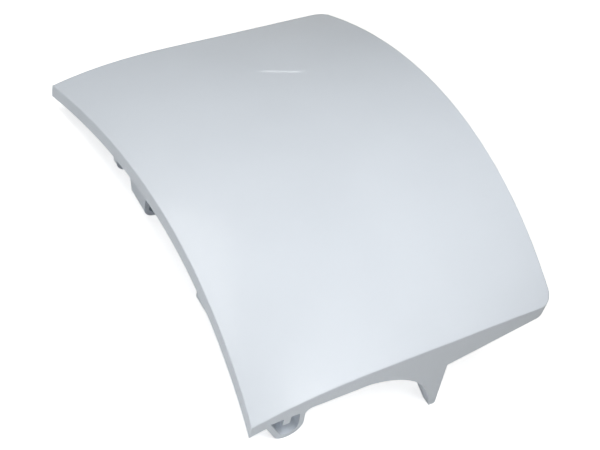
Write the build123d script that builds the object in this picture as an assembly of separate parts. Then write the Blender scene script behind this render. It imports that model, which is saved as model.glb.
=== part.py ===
from build123d import *
from math import asin, atan2, cos, degrees, hypot, radians, sin, sqrt, tan
import os

# Door handle of a front-loading washing machine: one injection moulding.
# It is modelled in the mould's frame and then laid as it rests. In the mould's frame the origin is on the
# pivot axis at mid-length, X runs to the outer edge that the fingers pull, Y runs along the pivot axis and
# Z is the way the mould opens, with the smooth face on top. All sizes are in millimetres.

# Face
WIDTH = 90.0               # inner corners to outer corners
LENGTH = 124.0             # end face to end face
INNER_SETBACK = 11.3       # inner corners to pivot axis
FACE_HEIGHT = 11.25        # pivot axis to the level part of the end lines
INNER_SWEEP = 5.7          # hollow of the inner edge at mid-length, in plan
OUTER_SWEEP = 4.3          # bow of the outer edge at mid-length, in plan
INNER_ARCH = 5.0           # rise of the face from the ends to mid-length, at the inner edge
OUTER_ARCH = 15.0          # the same rise at the outer edge
DROOP = 4.5                # fall of the face towards the inner edge
DROOP_WIDTH = 31.5         # width over which it falls
OUTER_CORNER = 4.4         # plan radius of the two outer corners
INNER_CORNER = 1.6         # plan radius of the two inner corners
EDGE_RADIUS = 0.4          # rounding around the face

# Walls
WALL = 2.4                 # skin under the face
RIM_DEPTH = 4.3            # border lip, from the face down
RIM_WIDTH = 2.4            # border lip, across
ROOT = 1.6                 # walls and ribs start this far under the face, inside the skin
END_WALL = 2.6             # end walls, along Y
END_DEPTH = 5.7            # end walls below the face, between loop and claw

# Pivot
PIN_RADIUS = 2.0           # steel pin that the handle turns on
PIN_CLEARANCE = 0.05       # running clearance around the pin, on the radius
EYE_WALL = 1.4             # wall of the long eye and the guide eye around the bore
FAR_EYE = 18.8             # mid-length to the middle of the long eye
FAR_EYE_LENGTH = 8.7
NEAR_EYE = 20.4            # mid-length to the middle of the short eye, on the other side
NEAR_EYE_LENGTH = 6.6
NEAR_EYE_WALL = 1.0
GUIDE_EYE = 34.2           # mid-length to the middle of the guide eye, near the far end
GUIDE_EYE_LENGTH = 2.4
EYE_SLOPE = 28.0           # outer sides of the main eyes above the pivot axis, from the upright, in degrees
LOOP_RADIUS = 4.3          # outside of the end loops, around the pivot axis
LOOP_WALL = 1.5            # strap of the end loops
LOOP_LENGTH = 5.0          # end loops, along Y
LOOP_LEAN = 28.0           # inner leg of the end loops from the upright, in degrees
LEG_LEAN = 6.0             # outer leg of the end loops, the same way, in degrees
WINDOW_TOP = 5.0           # opening of the end loops reaches this far above the pivot axis
TONGUE_X = -1.1            # middle of the tongue that hangs in the opening and keeps the pin down
TONGUE_WIDTH = 2.0
TONGUE_GAP = 0.3           # tongue to pin
LOOP_FILLET = 2.0          # loop into the edge of the end wall

# Claws that work the latch, one in each end wall
CLAW_X = 47.7              # root of the back of the claws from the pivot axis
CLAW_LEAN = 1.8            # the back leans outwards by this much down to the tip
CLAW_DROP = 19.0           # claw tips below the pivot axis
CLAW_TIP = 2.2             # width of the blunt tip
CLAW_LENGTH = 7.0          # claws, along Y
CLAW_DRAFT = 12.0          # past the end walls the claws narrow from their front by this angle, in degrees
CLAW_FROM = 36.0           # the claws are full length from here outwards
TIP_RADIUS = 0.7           # rounding of the claw tips
ARCH_START = 22.4          # hollow front of the claws starts here
ARCH_BLEND = 12.0          # rounding where it starts
CLAW_HOLLOW = 5.5          # depth of the hollow front
GRIP_DEPTH = 11.3          # end walls below the face at the back of the claws
TAPER_END = 77.2           # they taper off to this distance from the pivot axis

# Ribs
FINGER_WALL = 1.8          # wall behind the fingers, across
FINGER_DEPTH = 11.0        # the same wall, from the face down
RIB = 1.6                  # thickness of the stiffening ribs
RIB_DEPTH = 7.0            # stiffening ribs, from the face down
RIB_X = 22.0               # long rib from the pivot axis

# Worked-out places
HALF = LENGTH / 2
X_INNER = -INNER_SETBACK
X_OUTER = WIDTH - INNER_SETBACK
BORE_RADIUS = PIN_RADIUS + PIN_CLEARANCE
EYE_RADIUS = BORE_RADIUS + EYE_WALL
NEAR_EYE_RADIUS = BORE_RADIUS + NEAR_EYE_WALL
WINDOW_RADIUS = LOOP_RADIUS - LOOP_WALL
EDGE_LINE = FACE_HEIGHT - END_DEPTH
MARGIN = 8.0               # working shapes reach this far past the outline
HIGH = FACE_HEIGHT + INNER_ARCH + OUTER_ARCH + MARGIN
LOW = -CLAW_DROP - MARGIN - RIM_DEPTH - FINGER_DEPTH
TIP_X = CLAW_X + CLAW_LEAN - CLAW_TIP
REST_TILT = degrees(atan2(CLAW_DROP, TIP_X) - asin(LOOP_RADIUS / hypot(TIP_X, CLAW_DROP)))


def face_height(x, y):
    """Height of the face: an arch along Y that grows outwards, less the fall to the inner edge."""
    across = x - X_INNER
    arch = INNER_ARCH + (OUTER_ARCH - INNER_ARCH) * across / WIDTH
    radius = (HALF ** 2 + arch ** 2) / (2 * arch)
    fall = DROOP * max(0.0, 1 - across / DROOP_WIDTH) ** 2
    return FACE_HEIGHT + arch - radius + sqrt(radius ** 2 - y ** 2) - fall


def body_section(x):
    """Section of the closed body under the face at one distance from the pivot axis."""
    reach = HALF + MARGIN
    side = face_height(x, reach)
    with BuildSketch(Plane.YZ.offset(x)) as section:
        with BuildLine():
            top = ThreePointArc((-reach, side), (0, face_height(x, 0)), (reach, side))
            Polyline(top @ 1, (reach, LOW), (-reach, LOW), top @ 0)
        make_face()
    return section.sketch


def body_under_face():
    """Closed body whose top is the face, carried past the outline on every side."""
    falling = [X_INNER - MARGIN, X_INNER, X_INNER + DROOP_WIDTH / 2, X_INNER + DROOP_WIDTH]
    level = [(X_INNER + DROOP_WIDTH + X_OUTER) / 2, X_OUTER, X_OUTER + OUTER_SWEEP + MARGIN]
    return loft([body_section(x) for x in falling + level])


def plan_prism(inset):
    """Upright prism on the plan outline, drawn in by the inset."""
    half = HALF - inset
    inner = X_INNER + inset
    outer = X_OUTER - inset
    with BuildSketch() as plan:
        with BuildLine():
            hollow = ThreePointArc((inner, -half), (inner + INNER_SWEEP, 0), (inner, half))
            far_end = Line(hollow @ 1, (outer, half))
            bow = ThreePointArc(far_end @ 1, (outer + OUTER_SWEEP, 0), (outer, -half))
            Line(bow @ 1, hollow @ 0)
        make_face()
        corners = plan.vertices().sort_by(Axis.X)
        fillet(corners[-2:], max(OUTER_CORNER - inset, INNER_CORNER))
        fillet(corners[:2], INNER_CORNER)
    return Pos(0, 0, LOW) * extrude(plan.sketch, amount=HIGH - LOW)


def lowered(body, depth):
    """The body under the face, moved down the way the mould opens."""
    return Pos(0, 0, -depth) * body


def along_pivot(sketch, start, length):
    """Solid of a sketch of X and height, from start to start + length along the pivot axis."""
    return Pos(0, start, 0) * extrude(Plane.XZ * sketch, amount=-length)


def cover(body):
    """Skin of even wall with a deeper lip around its border."""
    block = body & plan_prism(0)
    face = block.faces().sort_by(Axis.Z)[-1]
    block = fillet(face.edges(), EDGE_RADIUS)
    plate = block - lowered(body, RIM_DEPTH)
    return plate - (lowered(body, WALL) & plan_prism(RIM_WIDTH))


def eye_sketch(radius):
    """Rounded lug around the pivot axis, carried up to the face."""
    return Circle(radius) + Pos(0, HIGH / 2) * Rectangle(2 * radius, HIGH)


def loop_sketch(radius, height):
    """End loop around the pivot axis: round below, with two legs that lean towards the inner edge."""
    outline = [(0, 0)]
    for side, lean in ((1, radians(LEG_LEAN)), (-1, radians(LOOP_LEAN))):
        foot = (side * radius * cos(lean), side * radius * sin(lean))
        top = (foot[0] - (height - foot[1]) * tan(lean), height)
        outline += [foot, top] if side > 0 else [top, foot]
    return Circle(radius) + Polygon(*outline, align=None)


def end_wall_sketch():
    """End wall seen along the pivot axis: loop, edge line, hollow claw front, claw back and grip taper."""
    with BuildSketch() as wall:
        with BuildLine():
            edge = Line((0, EDGE_LINE), (ARCH_START, EDGE_LINE))
            front = SagittaArc(edge @ 1, (TIP_X, -CLAW_DROP), CLAW_HOLLOW)
            tip = Line(front @ 1, (CLAW_X + CLAW_LEAN, -CLAW_DROP))
            back = Line(tip @ 1, (CLAW_X, FACE_HEIGHT - GRIP_DEPTH))
            taper = Line(back @ 1, (TAPER_END, FACE_HEIGHT - RIM_DEPTH))
            Polyline(taper @ 1, (TAPER_END, HIGH), (0, HIGH), edge @ 0)
        make_face()
        fillet(wall.vertices().sort_by(Axis.Y)[:2], TIP_RADIUS)
    profile = wall.sketch + loop_sketch(LOOP_RADIUS, HIGH)
    leg = LOOP_RADIUS / cos(radians(LEG_LEAN)) - EDGE_LINE * tan(radians(LEG_LEAN))
    loop_root = profile.vertices().sort_by_distance((leg, EDGE_LINE))[0]
    profile = fillet(loop_root, LOOP_FILLET)
    arch_start = profile.vertices().sort_by_distance((ARCH_START, EDGE_LINE))[0]
    return fillet(arch_start, ARCH_BLEND)


def window_sketch():
    """Opening of an end loop, an even strap inside its outline, with the tongue left standing in it."""
    tongue_end = PIN_RADIUS + TONGUE_GAP
    tongue = Pos(TONGUE_X, tongue_end + HIGH / 2) * Rectangle(TONGUE_WIDTH, HIGH)
    return loop_sketch(WINDOW_RADIUS, WINDOW_TOP) - tongue


def near_end(body):
    """End wall with its loop, the pad at the loop's root, and claw, at the -Y end; the loop isn't open yet."""
    wall = end_wall_sketch()
    claw_root = FACE_HEIGHT - GRIP_DEPTH
    with BuildSketch() as zone:
        Polygon((CLAW_FROM, LOW), (CLAW_X + CLAW_LEAN, LOW), (CLAW_X + CLAW_LEAN, -CLAW_DROP), (CLAW_X, claw_root),
                (CLAW_X, HIGH), (CLAW_FROM, HIGH), align=None)
    claw_side = wall & zone.sketch
    drafted = Pos(TIP_X, END_WALL - HALF, 0) * Rot(0, 0, -CLAW_DRAFT) * Pos(-TIP_X, 0, 0)
    claw = along_pivot(claw_side, -HALF, CLAW_LENGTH)
    claw &= drafted * along_pivot(claw_side, -MARGIN, CLAW_LENGTH + 2 * MARGIN)
    loop = along_pivot(loop_sketch(LOOP_RADIUS, HIGH), -HALF, LOOP_LENGTH)
    pad = along_pivot(Pos(X_INNER / 2, 0) * Rectangle(-X_INNER, 2 * HIGH), -HALF, LOOP_LENGTH)
    end = along_pivot(wall, -HALF, END_WALL) + claw + loop + (pad - lowered(body, RIM_DEPTH))
    return end & lowered(body, ROOT) & plan_prism(0)


def sloping_eye(middle, length, radius):
    """Main eye on the +Y side of mid-length, with an outer side that slopes out up to the face."""
    inner_side = middle - length / 2
    outer_side = middle + length / 2
    reach = outer_side + HIGH * tan(radians(EYE_SLOPE))
    with BuildSketch(Plane.YZ) as side:
        Polygon((inner_side, -radius), (outer_side, -radius), (outer_side, 0), (reach, HIGH),
                (inner_side, HIGH), align=None)
    lug = along_pivot(eye_sketch(radius), inner_side, reach - inner_side)
    return lug & extrude(side.sketch, amount=radius, both=True)


def eyes(body):
    """The two main eyes and the guide eye, not yet bored."""
    far = sloping_eye(FAR_EYE, FAR_EYE_LENGTH, EYE_RADIUS)
    near = mirror(sloping_eye(NEAR_EYE, NEAR_EYE_LENGTH, NEAR_EYE_RADIUS), about=Plane.XZ)
    guide = along_pivot(eye_sketch(EYE_RADIUS), GUIDE_EYE - GUIDE_EYE_LENGTH / 2, GUIDE_EYE_LENGTH)
    return (far + near + guide) & lowered(body, ROOT)


def rib(body, across, centre, depth):
    """Rib of constant depth under the face: a flat box cut to the curves of the skin."""
    width, length = across
    box = Pos(centre[0], centre[1], 0) * Box(width, length, 4 * HIGH)
    return (box & lowered(body, ROOT)) - lowered(body, depth)


def ribs(body):
    """Finger wall, long rib, and the two cross ribs that carry the main eyes."""
    inside = 2 * (HALF - END_WALL / 2)
    cross = CLAW_X - FINGER_WALL / 2
    frame = rib(body, (FINGER_WALL, inside), (CLAW_X - FINGER_WALL / 2, 0), FINGER_DEPTH)
    frame += rib(body, (RIB, inside), (RIB_X, 0), RIB_DEPTH)
    for middle in (-NEAR_EYE, FAR_EYE):
        frame += rib(body, (cross, RIB), (cross / 2, middle), RIB_DEPTH)
    return frame


def door_handle():
    """The whole moulding in the mould's frame."""
    body = body_under_face()
    end = near_end(body)
    handle = cover(body) + ribs(body) + eyes(body) + end + mirror(end, about=Plane.XZ)
    opening = along_pivot(window_sketch(), -HALF - MARGIN, LOOP_LENGTH + 2 * MARGIN)
    handle -= opening
    handle -= mirror(opening, about=Plane.XZ)
    bore_from = -NEAR_EYE - NEAR_EYE_LENGTH / 2 - MARGIN
    bore_to = GUIDE_EYE + GUIDE_EYE_LENGTH / 2 + MARGIN
    return handle - along_pivot(Circle(BORE_RADIUS), bore_from, bore_to - bore_from)


# The part lies face up on its two loops and its two claw tips, turned about the pivot axis.
handle = Rot(0, -REST_TILT, 0) * door_handle()
handle.label = "door_handle"
os.makedirs("parts", exist_ok=True)
export_step(handle, "parts/door_handle.step")
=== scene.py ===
import bpy
import numpy as np
from mathutils import Matrix, Vector


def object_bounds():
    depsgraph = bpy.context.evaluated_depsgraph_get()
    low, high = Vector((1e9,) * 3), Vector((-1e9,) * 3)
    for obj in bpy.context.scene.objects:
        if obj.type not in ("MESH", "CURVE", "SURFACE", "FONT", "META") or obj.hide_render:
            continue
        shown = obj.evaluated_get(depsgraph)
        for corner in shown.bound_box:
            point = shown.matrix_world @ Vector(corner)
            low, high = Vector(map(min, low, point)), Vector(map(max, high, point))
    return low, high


bl_info = {
    "name": "Washing machine door handle",
    "version": (1, 0, 0),
    "blender": (4, 5, 0),
    "location": "3D View > Sidebar > Door handle",
    "description": "Finish, light and camera for a moulded washing machine door handle",
    "category": "Object",
}

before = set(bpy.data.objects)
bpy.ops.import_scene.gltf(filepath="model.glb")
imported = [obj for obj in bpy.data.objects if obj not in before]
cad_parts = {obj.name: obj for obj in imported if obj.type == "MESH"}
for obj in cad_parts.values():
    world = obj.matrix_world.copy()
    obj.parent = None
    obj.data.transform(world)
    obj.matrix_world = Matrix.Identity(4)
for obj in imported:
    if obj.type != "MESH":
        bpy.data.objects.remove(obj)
CAD_BOX = [list(corner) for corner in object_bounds()]
FLOOR_LEVEL = CAD_BOX[0][2]


def linear(hex_colour):
    """Linear RGBA of an sRGB hex colour: each channel goes through the sRGB curve, and alpha is 1."""
    channels = [int(hex_colour[i:i + 2], 16) / 255 for i in (1, 3, 5)]
    curve = [c / 12.92 if c <= 0.04045 else ((c + 0.055) / 1.055) ** 2.4 for c in channels]
    return (*curve, 1.0)


def add_node(tree, kind, settings=None, **links):
    """Adds a node of a kind. Settings name properties or, as (input,), socket values; links name input sockets."""
    node = tree.nodes.new(kind)
    for key, value in (settings or {}).items():
        if isinstance(key, tuple):
            node.inputs[key[0]].default_value = value
        else:
            setattr(node, key, value)
    for name, socket in links.items():
        target = int(name[1:]) if name[0] == "i" and name[1:].isdigit() else name.replace("_", " ")
        tree.links.new(socket, node.inputs[target])
    return node


class MouldingFinish(bpy.types.PropertyGroup):
    """Look of the moulded plastic."""
    pigment: bpy.props.FloatVectorProperty(
        name="Pigment", description="Colour of the pale silver-grey plastic",
        size=4, subtype="COLOR", min=0, max=1, default=linear("#DAE1EA"))
    flow_shade: bpy.props.FloatVectorProperty(
        name="Flow shade", description="Slightly deeper tone where the melt flowed and the pigment gathered",
        size=4, subtype="COLOR", min=0, max=1, default=linear("#D8DFE8"))
    flow_size: bpy.props.FloatProperty(
        name="Flow size", description="Width of the faint clouds that the flowing melt leaves",
        unit="LENGTH", default=0.022)
    grain_size: bpy.props.FloatProperty(
        name="Grain size", description="Spacing of the fine grain that the mould surface prints on the plastic",
        unit="LENGTH", default=0.0007)
    face_roughness: bpy.props.FloatProperty(
        name="Face roughness", description="Roughness of the satin face",
        subtype="FACTOR", min=0, max=1, default=0.42)
    inside_roughness: bpy.props.FloatProperty(
        name="Inside roughness", description="Roughness of the grained hidden side",
        subtype="FACTOR", min=0, max=1, default=0.55)


class StageSettings(bpy.types.PropertyGroup):
    """Floor, lamps and camera."""
    floor_colour: bpy.props.FloatVectorProperty(
        name="Floor", description="Colour of the plain pale floor",
        size=4, subtype="COLOR", min=0, max=1, default=linear("#DFE0E1"))
    floor_size: bpy.props.FloatProperty(
        name="Floor size", description="Side of the square floor", unit="LENGTH", default=6.0)
    backdrop_height: bpy.props.FloatProperty(
        name="Backdrop height", description="Height of the low white wall around the floor",
        unit="LENGTH", default=0.9)
    floor_glow: bpy.props.FloatProperty(
        name="Floor glow", description="What the camera and reflections see on top of the lit floor, 1 being white",
        min=0, max=1, default=0.74)
    near_power: bpy.props.FloatProperty(
        name="Near lamp", description="Power of the soft lamp above the near end", unit="POWER", default=0.3)
    left_power: bpy.props.FloatProperty(
        name="Left lamp", description="Power of the soft lamp at the inner edge's side", unit="POWER", default=0.29)
    side_power: bpy.props.FloatProperty(
        name="Side lamp", description="Power of the low soft lamp at the outer edge's side, which misses the face",
        unit="POWER", default=0.9)
    glint_power: bpy.props.FloatProperty(
        name="Glint power", description="Power of the slim lamp that draws a glint by the far edge",
        unit="POWER", default=0.016)
    sky_colour: bpy.props.FloatVectorProperty(
        name="Sky", description="Colour of the weak even light", size=4, subtype="COLOR", min=0, max=1,
        default=linear("#FFF8DC"))
    sky_strength: bpy.props.FloatProperty(
        name="Sky strength", description="Level of the even light all round", min=0, default=0.08)
    lens: bpy.props.FloatProperty(
        name="Lens", description="Focal length of the camera, in millimetres", default=72.8)


class DOORHANDLE_OT_moulding(bpy.types.Operator):
    """Give the one-piece handle its satin moulded plastic"""
    bl_idname = "door_handle.moulding"
    bl_label = "Finish the moulding"

    def execute(self, context):
        finish = context.scene.door_handle_finish
        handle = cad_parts["door_handle"]
        handle.data.materials.clear()
        handle.data.materials.append(moulded_abs(finish))
        return {"FINISHED"}


# What the mould and the melt fix in the finish.
CLOUD_BAND = (0.35, 0.65)      # part of the noise over which the flow shade turns into the pigment
HIDDEN_TO_FACE = (0.1, 0.5)    # upward part of the normal, from the hidden side to the face
GRAIN_HEIGHT = 0.0001          # depth of the mould grain, in metres
GRAIN_SHOWN = (0.4, 0.02)      # share of that depth on the hidden side and on the face
ABS_IOR = 1.53
# Thin glossy skin that the polished mould leaves: it draws the slim lamp as a sharp glint.
POLISHED_SKIN = {("Coat Weight",): 0.1, ("Coat Roughness",): 0.04, ("Coat IOR",): 1.5}


def moulded_abs(finish):
    """Injection-moulded ABS, self-coloured pale silver grey.

    The eye sees a satin face with a soft broad sheen and almost no texture, faint clouds where the melt flowed,
    and a duller, finely grained hidden side where the mould was left unpolished.
    """
    material = bpy.data.materials.new("moulded_abs_silver_grey")
    material.use_nodes = True
    tree = material.node_tree
    tree.nodes.clear()
    place = add_node(tree, "ShaderNodeTexCoord")
    clouds = add_node(tree, "ShaderNodeTexNoise",
                      {("Scale",): 1 / finish.flow_size, ("Detail",): 2.0, ("Roughness",): 0.4},
                      Vector=place.outputs["Object"])
    colour = add_node(tree, "ShaderNodeValToRGB", {}, Fac=clouds.outputs["Fac"])
    for stop, position, tone in zip(colour.color_ramp.elements, CLOUD_BAND, (finish.flow_shade, finish.pigment)):
        stop.position = position
        stop.color = tone
    facing = add_node(tree, "ShaderNodeSeparateXYZ", {}, Vector=place.outputs["Normal"])
    turn = {("From Min",): HIDDEN_TO_FACE[0], ("From Max",): HIDDEN_TO_FACE[1]}
    roughness = add_node(tree, "ShaderNodeMapRange",
                         {**turn, ("To Min",): finish.inside_roughness, ("To Max",): finish.face_roughness},
                         Value=facing.outputs["Z"])
    # Real mould grain is about 0.1 mm wide; it is drawn coarser, so that it shows.
    grain = add_node(tree, "ShaderNodeTexNoise",
                     {("Scale",): 1 / finish.grain_size, ("Detail",): 1.0},
                     Vector=place.outputs["Object"])
    depth = add_node(tree, "ShaderNodeMapRange",
                     {**turn, ("To Min",): GRAIN_SHOWN[0], ("To Max",): GRAIN_SHOWN[1]},
                     Value=facing.outputs["Z"])
    bump = add_node(tree, "ShaderNodeBump", {("Distance",): GRAIN_HEIGHT},
                    Height=grain.outputs["Fac"], Strength=depth.outputs["Result"])
    plastic = add_node(tree, "ShaderNodeBsdfPrincipled", {("IOR",): ABS_IOR, **POLISHED_SKIN},
                       Base_Color=colour.outputs["Color"], Roughness=roughness.outputs["Result"],
                       Normal=bump.outputs["Normal"])
    add_node(tree, "ShaderNodeOutputMaterial", {}, Surface=plastic.outputs["BSDF"])
    return material


class DOORHANDLE_OT_stage(bpy.types.Operator):
    """Set the pale floor, the soft lamps and the camera"""
    bl_idname = "door_handle.stage"
    bl_label = "Set the stage"

    def execute(self, context):
        stage = context.scene.door_handle_stage
        paint = white_paint(stage)
        lay_floor(stage, paint)
        raise_backdrop(stage, paint)
        hang_lamps(stage)
        fill_sky(context.scene, stage)
        place_camera(context.scene, stage)
        context.scene.view_settings.view_transform = "Standard"
        return {"FINISHED"}


def white_paint(stage):
    """Matt white paint, rolled on.

    The eye sees an even white without a sheen that still takes a soft shadow: the light that falls on it, and a glow
    that only the camera and reflections see.
    """
    material = bpy.data.materials.new("matt_white_paint")
    material.use_nodes = True
    tree = material.node_tree
    tree.nodes.clear()
    path = add_node(tree, "ShaderNodeLightPath")
    eye = add_node(tree, "ShaderNodeMath", {"operation": "MAXIMUM"},
                   i0=path.outputs["Is Camera Ray"], i1=path.outputs["Is Glossy Ray"])
    seen = add_node(tree, "ShaderNodeMath", {"operation": "MAXIMUM"},
                    i0=eye.outputs["Value"], i1=path.outputs["Is Transmission Ray"])
    share = add_node(tree, "ShaderNodeMath", {"operation": "MULTIPLY", (1,): stage.floor_glow},
                     i0=seen.outputs["Value"])
    paint = add_node(tree, "ShaderNodeBsdfDiffuse", {("Color",): stage.floor_colour})
    glow = add_node(tree, "ShaderNodeEmission", {("Color",): (1, 1, 1, 1)}, Strength=share.outputs["Value"])
    both = add_node(tree, "ShaderNodeAddShader", {}, i0=paint.outputs["BSDF"], i1=glow.outputs["Emission"])
    add_node(tree, "ShaderNodeOutputMaterial", {}, Surface=both.outputs["Shader"])
    return material


def add_stage(name, points, faces, paint):
    """Painted stage object of the given points and faces, with its place in its mesh."""
    mesh = bpy.data.meshes.new(name)
    mesh.from_pydata(points, [], faces)
    mesh.materials.append(paint)
    piece = bpy.data.objects.new(name, mesh)
    bpy.context.collection.objects.link(piece)


def lay_floor(stage, paint):
    """Square floor under the handle, at the lowest point of the part."""
    half = stage.floor_size / 2
    corners = [(-half, -half, FLOOR_LEVEL), (half, -half, FLOOR_LEVEL), (half, half, FLOOR_LEVEL),
               (-half, half, FLOOR_LEVEL)]
    add_stage("studio_floor", corners, [(0, 1, 2, 3)], paint)


BACKDROP_STEPS = 96       # corners of the round backdrop
BACKDROP_SHARE = 0.48     # its radius, as a share of the floor's side


def raise_backdrop(stage, paint):
    """Low wall around the floor: points at an angle on a circle and at one of two heights, facing inwards."""
    angle = np.repeat(np.linspace(0, 2 * np.pi, BACKDROP_STEPS, endpoint=False), 2)
    height = np.tile([FLOOR_LEVEL, FLOOR_LEVEL + stage.backdrop_height], BACKDROP_STEPS)
    radius = BACKDROP_SHARE * stage.floor_size
    points = np.column_stack([radius * np.cos(angle), radius * np.sin(angle), height])
    low = 2 * np.arange(BACKDROP_STEPS)
    after = (low + 2) % (2 * BACKDROP_STEPS)
    faces = np.column_stack([low, low + 1, after + 1, after])
    add_stage("studio_backdrop", points.tolist(), faces.tolist(), paint)


def aim(place, target, up):
    """World matrix of a lamp or camera at a place, looking at a target with a given upward direction."""
    back = (Vector(place) - Vector(target)).normalized()
    right = Vector(up).cross(back).normalized()
    turn = Matrix((right, back.cross(right), back)).transposed()
    return Matrix.Translation(place) @ turn.to_4x4()


# Each lamp: its middle, the point that it is aimed at, its width and height, in metres, and the way its height points.
# The glint strip stands where the face mirrors it to the camera, and leans so that its image lies level.
UPRIGHT = (0, 0, 1)
NEAR_SOFTBOX = ((-0.025, -0.11, 0.19), (0.02, -0.03, 0.02), (0.12, 0.12), UPRIGHT)
LEFT_SOFTBOX = ((-0.13, 0.10, 0.21), (0.02, 0.0, 0.02), (0.12, 0.12), UPRIGHT)
SIDE_SOFTBOX = ((0.55, 0.20, 0.14), (0.05, 0.0, 0.03), (0.30, 0.20), UPRIGHT)
GLINT_STRIP = ((0.1738, 0.528, 0.3454), (0.0399, 0.0338, 0.0326), (0.005, 0.040), (0.25, 0, 1))


def hang_lamp(name, lamp_frame, power):
    """Flat lamp that lights what it faces and that the camera doesn't see."""
    place, target, size, up = lamp_frame
    lamp = bpy.data.lights.new(name, "AREA")
    lamp.shape = "RECTANGLE"
    lamp.size, lamp.size_y = size
    lamp.energy = power
    holder = bpy.data.objects.new(name, lamp)
    holder.visible_camera = False
    bpy.context.collection.objects.link(holder)
    holder.matrix_world = aim(place, target, up)


def hang_lamps(stage):
    """Three soft lamps, above the near end and beside both long edges, and the slim one that draws the glint."""
    hang_lamp("near_softbox", NEAR_SOFTBOX, stage.near_power)
    hang_lamp("left_softbox", LEFT_SOFTBOX, stage.left_power)
    hang_lamp("side_softbox", SIDE_SOFTBOX, stage.side_power)
    hang_lamp("glint_strip", GLINT_STRIP, stage.glint_power)


def fill_sky(scene, stage):
    """Weak even light from above the backdrop."""
    world = bpy.data.worlds.new("studio_sky")
    scene.world = world
    world.use_nodes = True
    tree = world.node_tree
    tree.nodes.clear()
    even = add_node(tree, "ShaderNodeBackground", {("Color",): stage.sky_colour, ("Strength",): stage.sky_strength})
    add_node(tree, "ShaderNodeOutputWorld", {}, Surface=even.outputs["Background"])


# Camera, from the corners of the face in the picture, in metres.
SENSOR_WIDTH = 36.0       # millimetres
NEAREST_SEEN = 0.01
CAMERA_PLACE = (-0.1805, -0.1800, 0.2059)
CAMERA_FORWARD = (0.6320, 0.5152, -0.5790)
CAMERA_UP = (0.0652, 0.7090, 0.7022)


def place_camera(scene, stage):
    """Camera at the picture's viewing angle, rolled with the lying handle."""
    camera = bpy.data.cameras.new("picture_camera")
    camera.sensor_fit = "HORIZONTAL"
    camera.sensor_width = SENSOR_WIDTH
    camera.lens = stage.lens
    camera.clip_start = NEAREST_SEEN
    holder = bpy.data.objects.new("picture_camera", camera)
    bpy.context.collection.objects.link(holder)
    target = Vector(CAMERA_PLACE) + Vector(CAMERA_FORWARD)
    holder.matrix_world = aim(CAMERA_PLACE, target, CAMERA_UP)
    scene.camera = holder


class DOORHANDLE_PT_panel(bpy.types.Panel):
    """Sizes and colours of the handle's finish and stage"""
    bl_idname = "DOORHANDLE_PT_panel"
    bl_label = "Door handle"
    bl_space_type = "VIEW_3D"
    bl_region_type = "UI"
    bl_category = "Door handle"

    def draw(self, context):
        for group in (context.scene.door_handle_finish, context.scene.door_handle_stage):
            for name in group.__annotations__:
                self.layout.prop(group, name)
        self.layout.operator(DOORHANDLE_OT_moulding.bl_idname)
        self.layout.operator(DOORHANDLE_OT_stage.bl_idname)


CLASSES = (MouldingFinish, StageSettings, DOORHANDLE_OT_moulding, DOORHANDLE_OT_stage, DOORHANDLE_PT_panel)


def register():
    for item in CLASSES:
        bpy.utils.register_class(item)
    bpy.types.Scene.door_handle_finish = bpy.props.PointerProperty(type=MouldingFinish)
    bpy.types.Scene.door_handle_stage = bpy.props.PointerProperty(type=StageSettings)


def unregister():
    del bpy.types.Scene.door_handle_stage
    del bpy.types.Scene.door_handle_finish
    for item in reversed(CLASSES):
        bpy.utils.unregister_class(item)


def main():
    register()
    bpy.ops.door_handle.moulding()
    bpy.ops.door_handle.stage()


if __name__ == "__main__":
    main()
